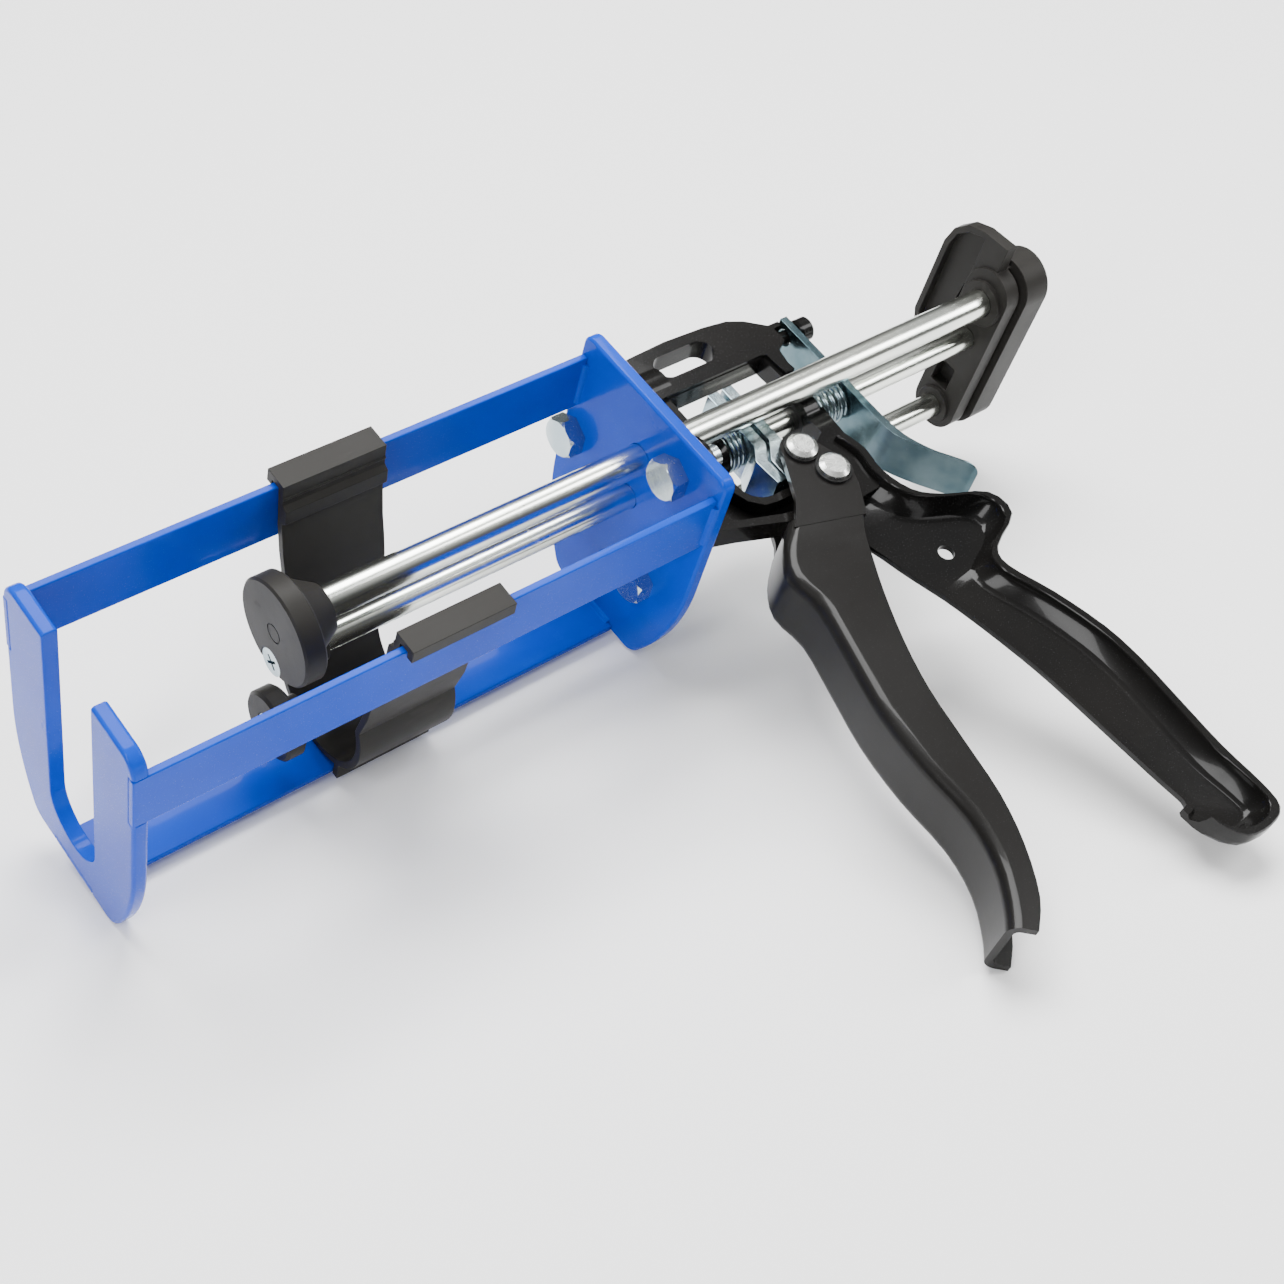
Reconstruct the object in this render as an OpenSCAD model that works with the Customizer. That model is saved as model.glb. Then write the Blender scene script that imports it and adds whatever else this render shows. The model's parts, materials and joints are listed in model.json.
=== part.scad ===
// Ratchet dispensing gun for two-part, side-by-side cartridges.
// It is drawn with the drive rod along X, the handle along +Y and the cradle's open side up, and is then
// laid down the way it rests on a bench: on the trigger's toe and the feet of the cradle.

/* [Cradle] */
// Thickness of the rear plate and of the front yoke
plate_t = 5; // [4:0.5:6]
// Half width of the rear plate
plate_half = 36.5; // [36:0.5:42]
// Height of the rear plate above the drive rod
plate_top = 42.5; // [40:0.5:50]
// Half width of the front yoke
yoke_half = 35; // [34:0.5:36]
// Height of the front yoke above the drive rod
yoke_top = 42; // [40:0.5:48]
// Depth of both plates below the drive rod
cradle_drop = 63; // [60:0.5:70]
// Clear length between the rear plate and the front yoke
cradle_len = 196; // [190:1:240]
// Radius of the long curve down the side of each plate
side_r = 92; // [85:1:110]
// Half width of the yoke's open slot
slot_half = 13; // [9:0.5:16]
// Thickness of the straps
strap_t = 2.5; // [2:0.25:3.5]
// Lower edge of the side straps
strap_low = 11.5; // [8:0.5:14]
// Upper edge of the side straps
strap_high = 34.5; // [30:0.5:36]

/* [Rods and plungers] */
// Radius of the notchless drive rod
drive_r = 4.3; // [3.5:0.1:4.6]
// Radius of the large push rod
large_rod_r = 5.2; // [4:0.1:6]
// Radius of the small push rod
small_rod_r = 4.5; // [3.5:0.1:5.5]
// Height of the large push rod above the drive rod
large_rod_z = 18.4; // [17:0.2:20]
// Depth of the small push rod below the drive rod
small_rod_z = 35.8; // [34:0.2:38]
// Radius of the large plunger
large_plunger_r = 17.6; // [15:0.2:20]
// Height of the large plunger's centre above the drive rod
large_plunger_z = 14.6; // [13:0.2:16]
// Radius of the small plunger
small_plunger_r = 12.2; // [10:0.2:14]
// Distance from the rear plate to the front of the large plunger
plunger_x = 136; // [100:1:138]
// Distance from the rear plate back to the front of the rear bridge
bridge_x = 160; // [155:1:200]

/* [Body casting and handle] */
// Pitch circle diameter of the three flange bolts
bolt_pcd = 62; // [60:1:64]
// Radius of the flange bolts
bolt_r = 4; // [3:0.5:4.5]
// Height of the casting's arms above the plane of the drive rod
arm_high = 7.5; // [6:0.25:8.5]
// Height of the handle's palm flange above the plane of the drive rod
palm_high = 10; // [8:0.25:12]
// Depth of the casting's arms below the plane of the drive rod
arm_low = 0.6; // [0.4:0.1:4]
// Thickness of the handle's floor
floor_t = 2; // [1.6:0.1:3]
// Distance from the drive rod to the end of the handle
handle_len = 209; // [200:1:225]
// Radius of the hanging hole in the handle
hang_r = 3; // [2:0.25:3.5]

/* [Trigger and grip plates] */
// Half width of the trigger across its ears
ear_half = 14; // [13.5:0.25:15]
// Half width of the trigger below its joggle
channel_half = 12.8; // [12:0.2:13.2]
// Thickness of the trigger's steel
trigger_t = 2.6; // [2:0.1:2.8]
// Distance from the drive rod to the trigger's toe
trigger_len = 195; // [188:1:204]
// Rounding of the trigger's two long corners
trigger_corner = 4.5; // [3.5:0.25:6]
// Half width of the grip plates and the release lever
grip_half = 9; // [8:0.25:10]
// Thickness of the front grip plate
front_grip_t = 4.6; // [4:0.1:4.8]
// Radius of both coil springs
spring_r = 8; // [7:0.25:8.5]
// Radius of the spring wire
wire_r = 0.9; // [0.6:0.1:1.1]
// Thickness of the release lever
release_t = 3; // [2:0.25:3]

/* [Cartridge clip] */
// Distance from the rear plate to the back of the clip
clip_x = 80; // [30:1:90]
// Length of the clip along the straps
clip_len = 36; // [25:1:40]
// Wall thickness of the clip
clip_t = 2.6; // [2:0.1:3]

/* [Fits] */
// Radial clearance of a rod that slides in a plate or bush
slide_gap = 0.08; // [0.05:0.01:0.1]
// Radial clearance of a screw, bolt or pressed piece
seat_gap = 0.05; // [0.02:0.01:0.1]
// Clearance between moving pieces that only pass each other
pass_gap = 0.5; // [0.3:0.1:0.8]

/* [Hidden] */
$fn = 64;

// Corner rounding of the plates' feet and how far the plates' sides stay upright
foot_r = 7;
plate_side_z = -13;
yoke_side_z = -18;
edge = 0.8;
yoke_end = cradle_len + plate_t;

// Places in the handle plane: the trigger's pivot, its pusher pin and the release lever's stud
pivot = [-60, 32];
pusher = [-55.7, 20];
pin_r = 3;
roller_r = 4.4;
rivet_head_r = 5.4;
rivet_head_t = 2;
collar_r = 6.5;
collar_t = 1;
stud_y = -29.5;
stud_r = 2.5;
stud_z = 3.4;
fulcrum_y = -32;

// Stations along the drive rod, measured back from the rear plate's front face
flange_end = 11;
boss_end = 38;
grip_face = 46;
rear_grip_face = 52.5;
// The grip plates bend forwards just clear of the return spring
knee_y = spring_r + 0.3;
lever_tip_r = 5;
lever_tip_y = 53.9;
// Half width of the bottom strap, and how far its underside stands above the feet
bottom_half = 11;
bottom_low = 0.6;
cavity_end = 73;
rear_wall_end = 79;
release_face = 94;
boss_r = 8.5;
rear_boss_r = 10;
bush_r = 6.3;

// Screws
screw_r = 2;
screw_head_r = 4.8;
screw_head_t = 2.8;
head_sink = 0.2;
screw_len = 14;

// How the gun lies: on the trigger's toe and on the feet of both plates
foot_y = foot_centre_y(yoke_half, yoke_side_z);
foot_z = foot_r - cradle_drop;
reach = norm([trigger_len - foot_y, -channel_half - foot_z]);
roll = atan2(-channel_half - foot_z, trigger_len - foot_y) + asin(foot_r / reach);
rest_height = trigger_len * sin(roll) + channel_half * cos(roll);
arm_out_y = 45;
bridge_t = 22;
tail_x = -bridge_x - bridge_t;
centre_x = (yoke_end + tail_x) / 2;
near_y = handle_len * cos(roll) + palm_high * sin(roll);
far_y = arm_out_y * cos(roll) + arm_low * sin(roll);
centre_y = (near_y - far_y) / 2;

// ---- helpers -------------------------------------------------------------------------------------

// Sideways place of a foot's rounding, tangent inside the long side curve
function foot_centre_y(half, side_z) =
    half - side_r + sqrt(pow(side_r - foot_r, 2) - pow(side_z - foot_r + cradle_drop, 2));

// Points on an arc
function arc(c, r, from, to, n = 12) = [for (i = [0:n]) c + r * [cos(from + (to - from) * i / n),
    sin(from + (to - from) * i / n)]];

// The same points in the opposite order
function reversed(p) = [for (i = [len(p) - 1:-1:0]) p[i]];

// A half outline closed with its mirror image
function both_sides(p) = concat(p, [for (q = reversed(p)) [-q.x, q.y]]);

// One point of a smooth curve between b and c
function between(a, b, c, d, t) = b + 0.5 * t * (c - a + t * (2 * a - 5 * b + 4 * c - d
    + t * (3 * (b - c) + d - a)));

// A smooth curve through all the points of p
function curve(p, n = 4) = concat([for (i = [0:len(p) - 2], k = [0:n - 1])
    between(p[max(i - 1, 0)], p[i], p[i + 1], p[min(i + 2, len(p) - 1)], k / n)], [p[len(p) - 1]]);

// The outline of a cradle plate, drawn in by e all round
function plate_outline(half, top, side_z, top_r, e) = let (
    foot = [foot_centre_y(half, side_z), foot_z],
    side = [half - side_r, side_z],
    lean = atan2(foot.y - side.y, foot.x - side.x))
    both_sides(concat(
        arc(foot, foot_r - e, -90, lean, 8),
        arc(side, side_r - e, lean, 0, 14),
        arc([half - top_r, top - top_r], top_r - e, 0, 90, 6)));

// Everything as it rests on the bench, centred over the origin
module laid() {
    translate([-centre_x, -centre_y, rest_height]) rotate([-roll, 0, 0]) children();
}

// A round bar along the drive rod's direction
module bar(from, to, r, y = 0, z = 0) {
    translate([from, y, z]) rotate([0, 90, 0]) cylinder(h = to - from, r = r);
}

// A round bar that ends in a small chamfer at both ends
module eased_bar(from, to, r, y = 0, z = 0, ease = 0.8) {
    bar(from + ease, to - ease, r, y, z);
    translate([from, y, z]) rotate([0, 90, 0]) cylinder(h = ease, r1 = r - ease, r2 = r);
    translate([to - ease, y, z]) rotate([0, 90, 0]) cylinder(h = ease, r1 = r, r2 = r - ease);
}

// A cross-section in the plane of the plates, drawn out along the rods
module across(from, to) {
    translate([from, 0, 0]) rotate([90, 0, 90]) linear_extrude(to - from) children();
}

// A shape in the plane of the handle, drawn out to both sides of it
module flat(half) {
    translate([0, 0, -half]) linear_extrude(2 * half) children();
}

// Places its children at the three flange bolts
module at_bolts() {
    for (a = [180, 60, -60]) translate([0, cos(a) * bolt_pcd / 2, sin(a) * bolt_pcd / 2]) children();
}

// A capsule outline between two heights
module stadium(low, high, r) {
    translate([0, low]) circle(r);
    translate([0, high]) circle(r);
    translate([-r, low]) square([2 * r, high - low]);
}

// A coil spring round the drive rod, its first and last turns wound close
module coil(from, to, turns) {
    ring_n = 8;
    step_n = 20;
    total = turns * step_n;
    travel = to - from - 2 * wire_r;
    close = 2 * wire_r + 0.15;
    open = (travel - 2 * close) / (turns - 2);
    function rise(t) = t < 1 ? t * close
        : t > turns - 1 ? travel - (turns - t) * close
        : close + (t - 1) * open;
    function spot(i, j) = let (a = 360 * i / step_n, b = 360 * j / ring_n,
        r = spring_r - wire_r + wire_r * cos(b))
        [from + wire_r + rise(i / step_n) + wire_r * sin(b), r * cos(a), r * sin(a)];
    points = [for (i = [0:total], j = [0:ring_n - 1]) spot(i, j)];
    walls = [for (i = [0:total - 1], j = [0:ring_n - 1])
        let (k = (j + 1) % ring_n, m = i * ring_n, n = m + ring_n)
        each [[m + j, m + k, n + k], [m + j, n + k, n + j]]];
    polyhedron(points, concat(walls, [for (j = [1:ring_n - 2]) [0, j + 1, j]],
        [for (j = [1:ring_n - 2]) [total * ring_n, total * ring_n + j, total * ring_n + j + 1]]),
        convexity = 8);
}

// A countersunk cross-head screw whose head is flush with x = 0 and faces +X
module cross_screw(length) {
    difference() {
        union() {
            bar(-length, 0, screw_r);
            translate([-screw_head_t, 0, 0]) rotate([0, 90, 0])
                cylinder(h = screw_head_t, r1 = screw_r, r2 = screw_head_r);
        }
        for (a = [45, 135]) rotate([a, 0, 0]) translate([-1.6, -2.7, -0.5]) cube([2, 5.4, 1]);
    }
}

// The space a countersunk screw needs
module screw_seat(length) {
    bar(-length, 0.01, screw_r + seat_gap);
    translate([-screw_head_t - head_sink - 0.1, 0, 0]) rotate([0, 90, 0])
        cylinder(h = screw_head_t + head_sink + 0.11, r1 = screw_r + seat_gap, r2 = screw_head_r + 0.4);
}

// ---- cradle --------------------------------------------------------------------------------------

// A plate with eased outer edges
module eased_plate(from, to, half, top, side_z, top_r) {
    hull() {
        across(from, to) polygon(plate_outline(half, top, side_z, top_r, edge));
        across(from + edge, to - edge) polygon(plate_outline(half, top, side_z, top_r, 0));
    }
}

module rear_plate() {
    color("royalblue") laid() difference() {
        eased_plate(-plate_t, 0, plate_half, plate_top, plate_side_z, 4);
        bar(-plate_t - 1, 1, drive_r + slide_gap);
        bar(-plate_t - 1, 1, large_rod_r + slide_gap, 0, large_rod_z);
        bar(-plate_t - 1, 1, small_rod_r + slide_gap, 0, -small_rod_z);
        at_bolts() bar(-plate_t - 1, 1, bolt_r + seat_gap);
    }
}

module front_yoke() {
    slot_z = slot_half - cradle_drop + 14;
    color("royalblue") laid() difference() {
        eased_plate(cradle_len, yoke_end, yoke_half, yoke_top, yoke_side_z, 7);
        bar(cradle_len - 1, yoke_end + 1, slot_half, 0, slot_z);
        translate([cradle_len - 1, -slot_half, slot_z])
            cube([plate_t + 2, 2 * slot_half, yoke_top - slot_z + 1]);
        for (s = [-1, 1]) translate([cradle_len - 1, s * yoke_half - strap_t, strap_low])
            cube([plate_t + 2, 2 * strap_t, strap_high - strap_low]);
        translate([cradle_len - 1, -bottom_half, -cradle_drop - 1])
            cube([plate_t + 2, 2 * bottom_half, 1 + bottom_low + strap_t]);
    }
}

// A side strap, from the rear plate's face to the front of the yoke
module side_strap(s) {
    low_y = s > 0 ? yoke_half - strap_t : -yoke_half;
    translate([0, low_y, strap_low]) cube([yoke_end, strap_t, strap_high - strap_low]);
}

module far_strap() {
    color("royalblue") laid() side_strap(-1);
}

module near_strap() {
    color("royalblue") laid() side_strap(1);
}

module bottom_strap() {
    color("royalblue") laid() translate([0, -bottom_half, bottom_low - cradle_drop])
        cube([yoke_end, 2 * bottom_half, strap_t]);
}

// A fillet weld's section, in a corner that opens towards +x and +y
module bead(size) {
    polygon(concat([[0, 0], [size, 0]], arc([0, 0], size * 0.8, 8, 82, 4), [[0, size]]));
}

module weld_beads() {
    size = 1.8;
    long = strap_high - strap_low - 5;
    color("royalblue") laid() {
        for (s = [-1, 1]) translate([0, 0, strap_low + 2.5]) {
            translate([0, s * yoke_half, 0]) scale([1, s, 1]) linear_extrude(long) bead(size);
            translate([0, s * (yoke_half - strap_t), 0]) scale([1, -s, 1]) linear_extrude(long) bead(size);
            translate([cradle_len, s * (yoke_half - strap_t), 0]) scale([-1, -s, 1])
                linear_extrude(long) bead(size);
        }
        for (x = [0, cradle_len]) translate([x, -bottom_half + 2, bottom_low + strap_t - cradle_drop])
            rotate([-90, 0, 0]) scale([x > 0 ? -1 : 1, -1, 1]) linear_extrude(2 * bottom_half - 4) bead(size);
    }
}

module flange_bolts() {
    head_t = 6;
    head_r = bolt_r * 1.88;
    color("silver") laid() at_bolts() {
        bar(-flange_end - 6, 0.01, bolt_r);
        rotate([0, 90, 0]) intersection() {
            cylinder(h = head_t, r = head_r, $fn = 6);
            cylinder(h = head_t, r1 = head_r + 3.6, r2 = head_r - 0.9);
        }
    }
}

// ---- body casting and handle -----------------------------------------------------------------------

// The palm side of the handle, from behind the drive rod to the toe
palm_line = [[-78.5, 19], [-80.6, 28], [-79.4, 38], [-83, 50], [-92, 57], [-107, 64], [-108, 75], [-93, 83],
    [-90.6, 91], [-97, 107], [-102.4, 126], [-103.8, 142], [-103.3, 160], [-102.6, handle_len - 29],
    [-103.5, handle_len - 12], [-102, handle_len - 3], [-94, handle_len], [-84, handle_len - 1.5],
    [-78.5, handle_len - 9]];

// The front edge of the handle, a point opposite each one on the palm side
front_line = [[-68, 19], [-66.5, 28], [-60, 36.5], [-57.5, 48], [-57.5, 57], [-59.5, 64], [-62, 73], [-65, 82],
    [-67.5, 90], [-71, 105], [-74.5, 124], [-76.5, 142], [-78, 160], [-79.5, handle_len - 33],
    [-80.5, handle_len - 25], [-80.5, handle_len - 23], [-80, handle_len - 21.5], [-79, handle_len - 21],
    [-77.5, handle_len - 21]];

// The outline of the casting's frame round the mechanism, the far side first
frame_line = [[-8, -38], [-20, -41.8], [-33, -44.3], [-49, -arm_out_y], [-66, -44.2], [-76, -42.8], [-82, -40],
    [-88.6, -34.5], [-90, -33], [-90, -26], [-85, -23], [-83, -12], [-81.8, -2], [-80.2, 18], [-77, 36],
    [-75, 42.5], [-57, 43.5], [-36, 38.6], [-20, 33], [-8, 29.6]];

module casting_flange() {
    across(-flange_end, -plate_t) {
        for (a = [180, 60, -60]) rotate(a) {
            translate([bolt_pcd / 2, 0]) circle(9);
            translate([0, -7.5]) square([bolt_pcd / 2, 15]);
        }
        circle(15);
        translate([0, -arm_low]) square([29.6, arm_high + arm_low]);
    }
}

// The opening that holds the grip plates, the return spring and the trigger's pusher
module mechanism_well() {
    polygon(concat([[-34, -22.8], [-34, -11], [-30.5, -11], [-30.5, 18]], arc([-39, 19], 8.5, 10, 90, 6),
        [[-66, 27.5], [-66, 18], [-cavity_end, 14], [-cavity_end, -12], [-77, -13], [-76.5, -22.8]]));
}

// The sunk floor of the near arm, between its outer rim and the well
module near_pocket() {
    polygon([[-13, 13], [-27.5, 13], [-27.5, 20], [-29.5, 25.5], [-34, 29.6], [-39, 30.4], [-52, 30.6], [-50.5, 38],
        [-37, 35.4], [-20, 29.9], [-13, 27.6]]);
}

module casting_frame() {
    difference() {
        translate([0, 0, -arm_low]) linear_extrude(arm_high + arm_low) difference() {
            polygon(frame_line);
            mechanism_well();
        }
        translate([0, 0, floor_t]) linear_extrude(arm_high) near_pocket();
    }
    // Raised rim along the far side of the well
    translate([0, 0, arm_high - 1]) linear_extrude(2.6) polygon([[-30, -26.6], [-79.5, -26.2], [-81.6, -21.5],
        [-82.8, -12.6], [-78.6, -12.6], [-77.7, -22.4], [-75.5, -23.1], [-30, -23.1]]);
    // Pad that the release lever rocks on
    translate([0, 0, -arm_low]) linear_extrude(arm_high + arm_low)
        polygon([[-88, -34.2], [0.3 - release_face, -34.2], [0.3 - release_face, fulcrum_y - 0.2],
            [-88, fulcrum_y - 0.2]]);
}

// A closed solid through a row of outlines that all have the same number of points
module through(rings) {
    n = len(rings[0]);
    last = len(rings) - 1;
    walls = [for (i = [0:last - 1], j = [0:n - 1]) let (k = (j + 1) % n, a = i * n, b = a + n)
        each [[a + j, b + k, b + j], [a + j, a + k, b + k]]];
    // Each end is closed strip by strip, between the outline's two halves
    ends = [for (j = [0:n / 2 - 2], a = [0, last * n]) let (p = a + j, q = a + n - 1 - j)
        each a > 0 ? [[p, q - 1, p + 1], [p, q, q - 1]] : [[p, p + 1, q - 1], [p, q - 1, q]]];
    polyhedron([for (r = rings) each r], concat(walls, ends), convexity = 8);
}

// An outline of [depth, height] points stood on the line from a to b
function stood(outline, a, b) = let (u = (b - a) / norm(b - a))
    [for (q = outline) [a.x + u.x * q.x, a.y + u.y * q.x, q.y]];

// The handle is a shallow tray: a tall rounded palm flange, a floor and a low front bead
module handle_grip() {
    palm = curve(palm_line, 3);
    front = curve(front_line, 3);
    function section(w) = let (foot = min(9.6, w - 4.4)) [[w, 3.2], [w, 1], [w - 1, 0], [6, 0], [2.8, 0.8],
        [0.9, 2.6], [0, 5.4], [0, palm_high - 0.6], [0.6, palm_high], [3.2, palm_high], [3.8, palm_high - 0.6],
        [4.4, 7], [foot - 2, 4], [foot, floor_t + 0.3], [w - 3.4, floor_t], [w - 2.4, 3.2]];
    through([for (i = [0:len(palm) - 1]) stood(section(norm(front[i] - palm[i])), palm[i], front[i])]);
}

module body_casting() {
    color([0.05, 0.05, 0.055]) laid() difference() {
        union() {
            casting_flange();
            casting_frame();
            handle_grip();
            bar(-boss_end, -plate_t, boss_r);
            bar(-boss_end, -plate_t, 9.5, -bolt_pcd / 2);
            bar(-rear_wall_end, -cavity_end, rear_boss_r);
            translate(pivot) flat(ear_half - trigger_t - 0.3) circle(7.5);
        }
        bar(-boss_end - 1, -plate_t + 1, bush_r + seat_gap);
        bar(-rear_wall_end - 1, -cavity_end + 1, bush_r + seat_gap);
        // Room for the release spring behind the rear wall
        bar(-release_face, -rear_wall_end, spring_r + 1);
        at_bolts() bar(-flange_end - 7, -plate_t + 1, bolt_r + seat_gap);
        // Clear way for both push rods
        bar(-release_face - 5, 0, large_rod_r + 1, 0, large_rod_z);
        bar(-release_face - 5, 0, small_rod_r + 1, 0, -small_rod_z);
        translate([pivot.x, pivot.y, -20]) cylinder(h = 40, r = pin_r + slide_gap);
        bar(-release_face, -78, stud_r + seat_gap, stud_y, stud_z);
        // Lightening window in the far arm
        for (x = [-43, -58.4]) translate([x, -35.2, -20]) cylinder(h = 40, r = 5);
        translate([-58.4, -40.2, -20]) cube([15.4, 10, 40]);
        flat(20) translate([-81, 73]) circle(hang_r);
    }
}

module front_bush() {
    color([0.08, 0.08, 0.08]) laid() difference() {
        bar(-boss_end, -plate_t, bush_r);
        bar(-boss_end - 1, 0, drive_r + slide_gap);
    }
}

module rear_bush() {
    color([0.08, 0.08, 0.08]) laid() difference() {
        bar(-rear_wall_end, -cavity_end, bush_r);
        bar(-rear_wall_end - 1, -cavity_end + 1, drive_r + slide_gap);
    }
}

module release_stud() {
    color([0.08, 0.08, 0.08]) laid() {
        bar(-release_face - release_t - 4, -80, stud_r, stud_y, stud_z);
        eased_bar(-release_face - release_t - 8.5, -release_face - release_t - 2.5, 4.4, stud_y, stud_z, 0.9);
    }
}

// ---- trigger -------------------------------------------------------------------------------------

// The front of the trigger, from below the joggle to its toe
trigger_front = [[-33, 41], [-24, 49], [-18, 59], [-19, 73], [-14.5, 92], [-9.5, 113], [-7.5, 134], [-7.8, 155],
    [-4, 171], [3, trigger_len - 12], [8, trigger_len - 6]];

// The rear edge of the trigger's flanges, opposite the points of its front
trigger_rear = [[-58, 50], [-53, 56], [-48.5, 65], [-41.5, 79], [-34, 97], [-28.5, 115], [-25, 135], [-21.5, 155],
    [-15.5, 172], [-7, trigger_len - 8], [1.5, trigger_len]];

// A channel swept along the trigger, open towards the handle
module trigger_channel() {
    front = curve(trigger_front, 3);
    rear = curve(trigger_rear, 3);
    // The half width narrows over the joggle
    function half(i) = let (t = min(1, max(0, (front[i].y - 47) / 9)))
        ear_half - 0.2 - (ear_half - 0.2 - channel_half) * t * t * (3 - 2 * t);
    function section(w, long) = let (c = trigger_corner, t = trigger_t) concat(
        [[long, -w]], arc([c, c - w], c, -90, -180, 5), arc([c, w - c], c, 180, 90, 5), [[long, w]],
        [[long, w - t]], arc([c, w - c], c - t, 90, 180, 5), arc([c, c - w], c - t, 180, 270, 5), [[long, t - w]]);
    through([for (i = [0:len(front) - 1])
        stood(section(half(i), norm(rear[i] - front[i])), front[i], rear[i])]);
}

// One ear of the trigger, round its two rivets
module trigger_ear() {
    ear_r = 7.2;
    translate(pusher) circle(ear_r);
    translate(pivot) circle(ear_r);
    polygon([[-62.9, 20], [-67.2, 32], [-64, 41], [-57.5, 52.2], [-31.5, 44.8], [-34.5, 42], [-40.5, 34.9],
        [-46.2, 23.4], [-50.5, 15.2]]);
}

module trigger_lever() {
    color([0.05, 0.05, 0.055]) laid() difference() {
        union() {
            trigger_channel();
            for (s = [-1, 1]) translate([0, 0, s > 0 ? ear_half - trigger_t : -ear_half])
                linear_extrude(trigger_t) trigger_ear();
        }
        translate([pivot.x, pivot.y, -20]) cylinder(h = 40, r = pin_r + seat_gap);
        translate([pusher.x, pusher.y, -20]) cylinder(h = 40, r = pin_r + seat_gap);
    }
}

// A rivet through both ears with a domed head on each side
module rivet() {
    sit = ear_half + collar_t;
    cylinder(h = 2 * sit, r = pin_r, center = true);
    for (s = [0, 180]) rotate([s, 0, 0]) translate([0, 0, sit]) {
        cylinder(h = rivet_head_t * 0.5, r = rivet_head_r);
        translate([0, 0, rivet_head_t / 2])
            cylinder(h = rivet_head_t / 2, r1 = rivet_head_r, r2 = rivet_head_r * 0.72);
    }
}

module trigger_pivot_pin() {
    color("silver") laid() translate(pivot) rivet();
}

module pusher_pin() {
    color("silver") laid() translate(pusher) rivet();
}

module pivot_collars() {
    color([0.08, 0.08, 0.08]) laid() for (p = [pivot, pusher], s = [0, 180]) translate(p) rotate([s, 0, 0])
        translate([0, 0, ear_half]) difference() {
            cylinder(h = collar_t, r = p == pusher ? collar_r - 0.4 : collar_r);
            translate([0, 0, -1]) cylinder(h = collar_t + 2, r = pin_r + seat_gap);
        }
}

module pusher_roller() {
    color("silver") laid() translate(pusher) difference() {
        cylinder(h = 2 * (ear_half - trigger_t - 0.4), r = roller_r, center = true);
        cylinder(h = 40, r = pin_r + slide_gap, center = true);
    }
}

// ---- grip plates and release lever -----------------------------------------------------------------

module front_grip_plate() {
    face = -grip_face;
    back = face - front_grip_t;
    color("lightsteelblue") laid() difference() {
        flat(grip_half) polygon([[face, -17], [face, knee_y], [face + 4, knee_y + 6], [face + 3.2, 25],
            [face - 0.8, 25], [face - 0.2, knee_y + 7.5], [back, knee_y + 1.1], [back, -17]]);
        bar(back - 1, face + 1, drive_r + slide_gap);
    }
}

module rear_grip_plate() {
    face = -rear_grip_face;
    color("lightsteelblue") laid() difference() {
        flat(grip_half) polygon([[face, -17], [face, knee_y + 0.5], [face + 5.2, knee_y + 8], [face + 5.2, 24.6],
            [face + 1.5, 24.6], [face + 1.5, knee_y + 9.5], [face - 4.3, knee_y + 2.1], [face - 4.3, -17]]);
        bar(face - 6, face + 1, drive_r + slide_gap);
    }
}

module return_spring() {
    color("lightsteelblue") laid() coil(0.1 - grip_face, -boss_end - 0.1, 3);
}

module release_lever() {
    x = -release_face;
    t = release_t;
    line = concat([[x, -33.8]], curve([[x, 20], [x - 1, 28], [x - 6, 37], [x - 12, 45], [x - 18, 52.5]], 4));
    back = concat([[x - t, -33.8]], curve([[x - t, 20], [x - t - 1.2, 29.5], [x - 8.4, 39], [x - 14.4, 47],
        [x - 20.2, 54.6]], 4));
    color("lightsteelblue") laid() difference() {
        intersection() {
            flat(grip_half) polygon(concat(line, reversed(back)));
            // The thumb end's corners are rounded
            across(x - 30, x + 1) {
                translate([-40, -grip_half - 1]) square([lever_tip_y - lever_tip_r + 40, 2 * grip_half + 2]);
                for (s = [-1, 1]) translate([lever_tip_y - lever_tip_r, s * (grip_half - lever_tip_r)])
                    circle(lever_tip_r);
                translate([lever_tip_y - 2 * lever_tip_r, lever_tip_r - grip_half])
                    square([2 * lever_tip_r, 2 * (grip_half - lever_tip_r)]);
            }
        }
        bar(x - t - 1, x + 1, drive_r + 0.8);
        bar(x - t - 1, x + 1, stud_r + 0.8, stud_y, stud_z);
    }
}

module release_spring() {
    color("lightsteelblue") laid() coil(0.1 - release_face, -rear_wall_end - 0.1, 5);
}

// ---- rods and plungers ----------------------------------------------------------------------------

rod_tail = tail_x + 6;
drive_nose = plunger_x - screw_head_t - 0.4;
large_nose = plunger_x - 4;
small_x = plunger_x - 1;
small_nose = small_x - screw_head_t - 0.4;

// A rod with tapped ends, its front screw hole only where it is wanted
module tapped_rod(nose, r, z, front) {
    difference() {
        eased_bar(rod_tail, nose, r, 0, z, 0.5);
        bar(rod_tail - 1, rod_tail + screw_len, screw_r + seat_gap, 0, z);
        if (front) bar(nose - screw_len, nose + 1, screw_r + seat_gap, 0, z);
    }
}

module drive_rod() {
    color("gainsboro") laid() tapped_rod(drive_nose, drive_r, 0, true);
}

module large_push_rod() {
    color("gainsboro") laid() tapped_rod(large_nose, large_rod_r, large_rod_z, false);
}

module small_push_rod() {
    color("gainsboro") laid() tapped_rod(small_nose, small_rod_r, -small_rod_z, true);
}

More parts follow.
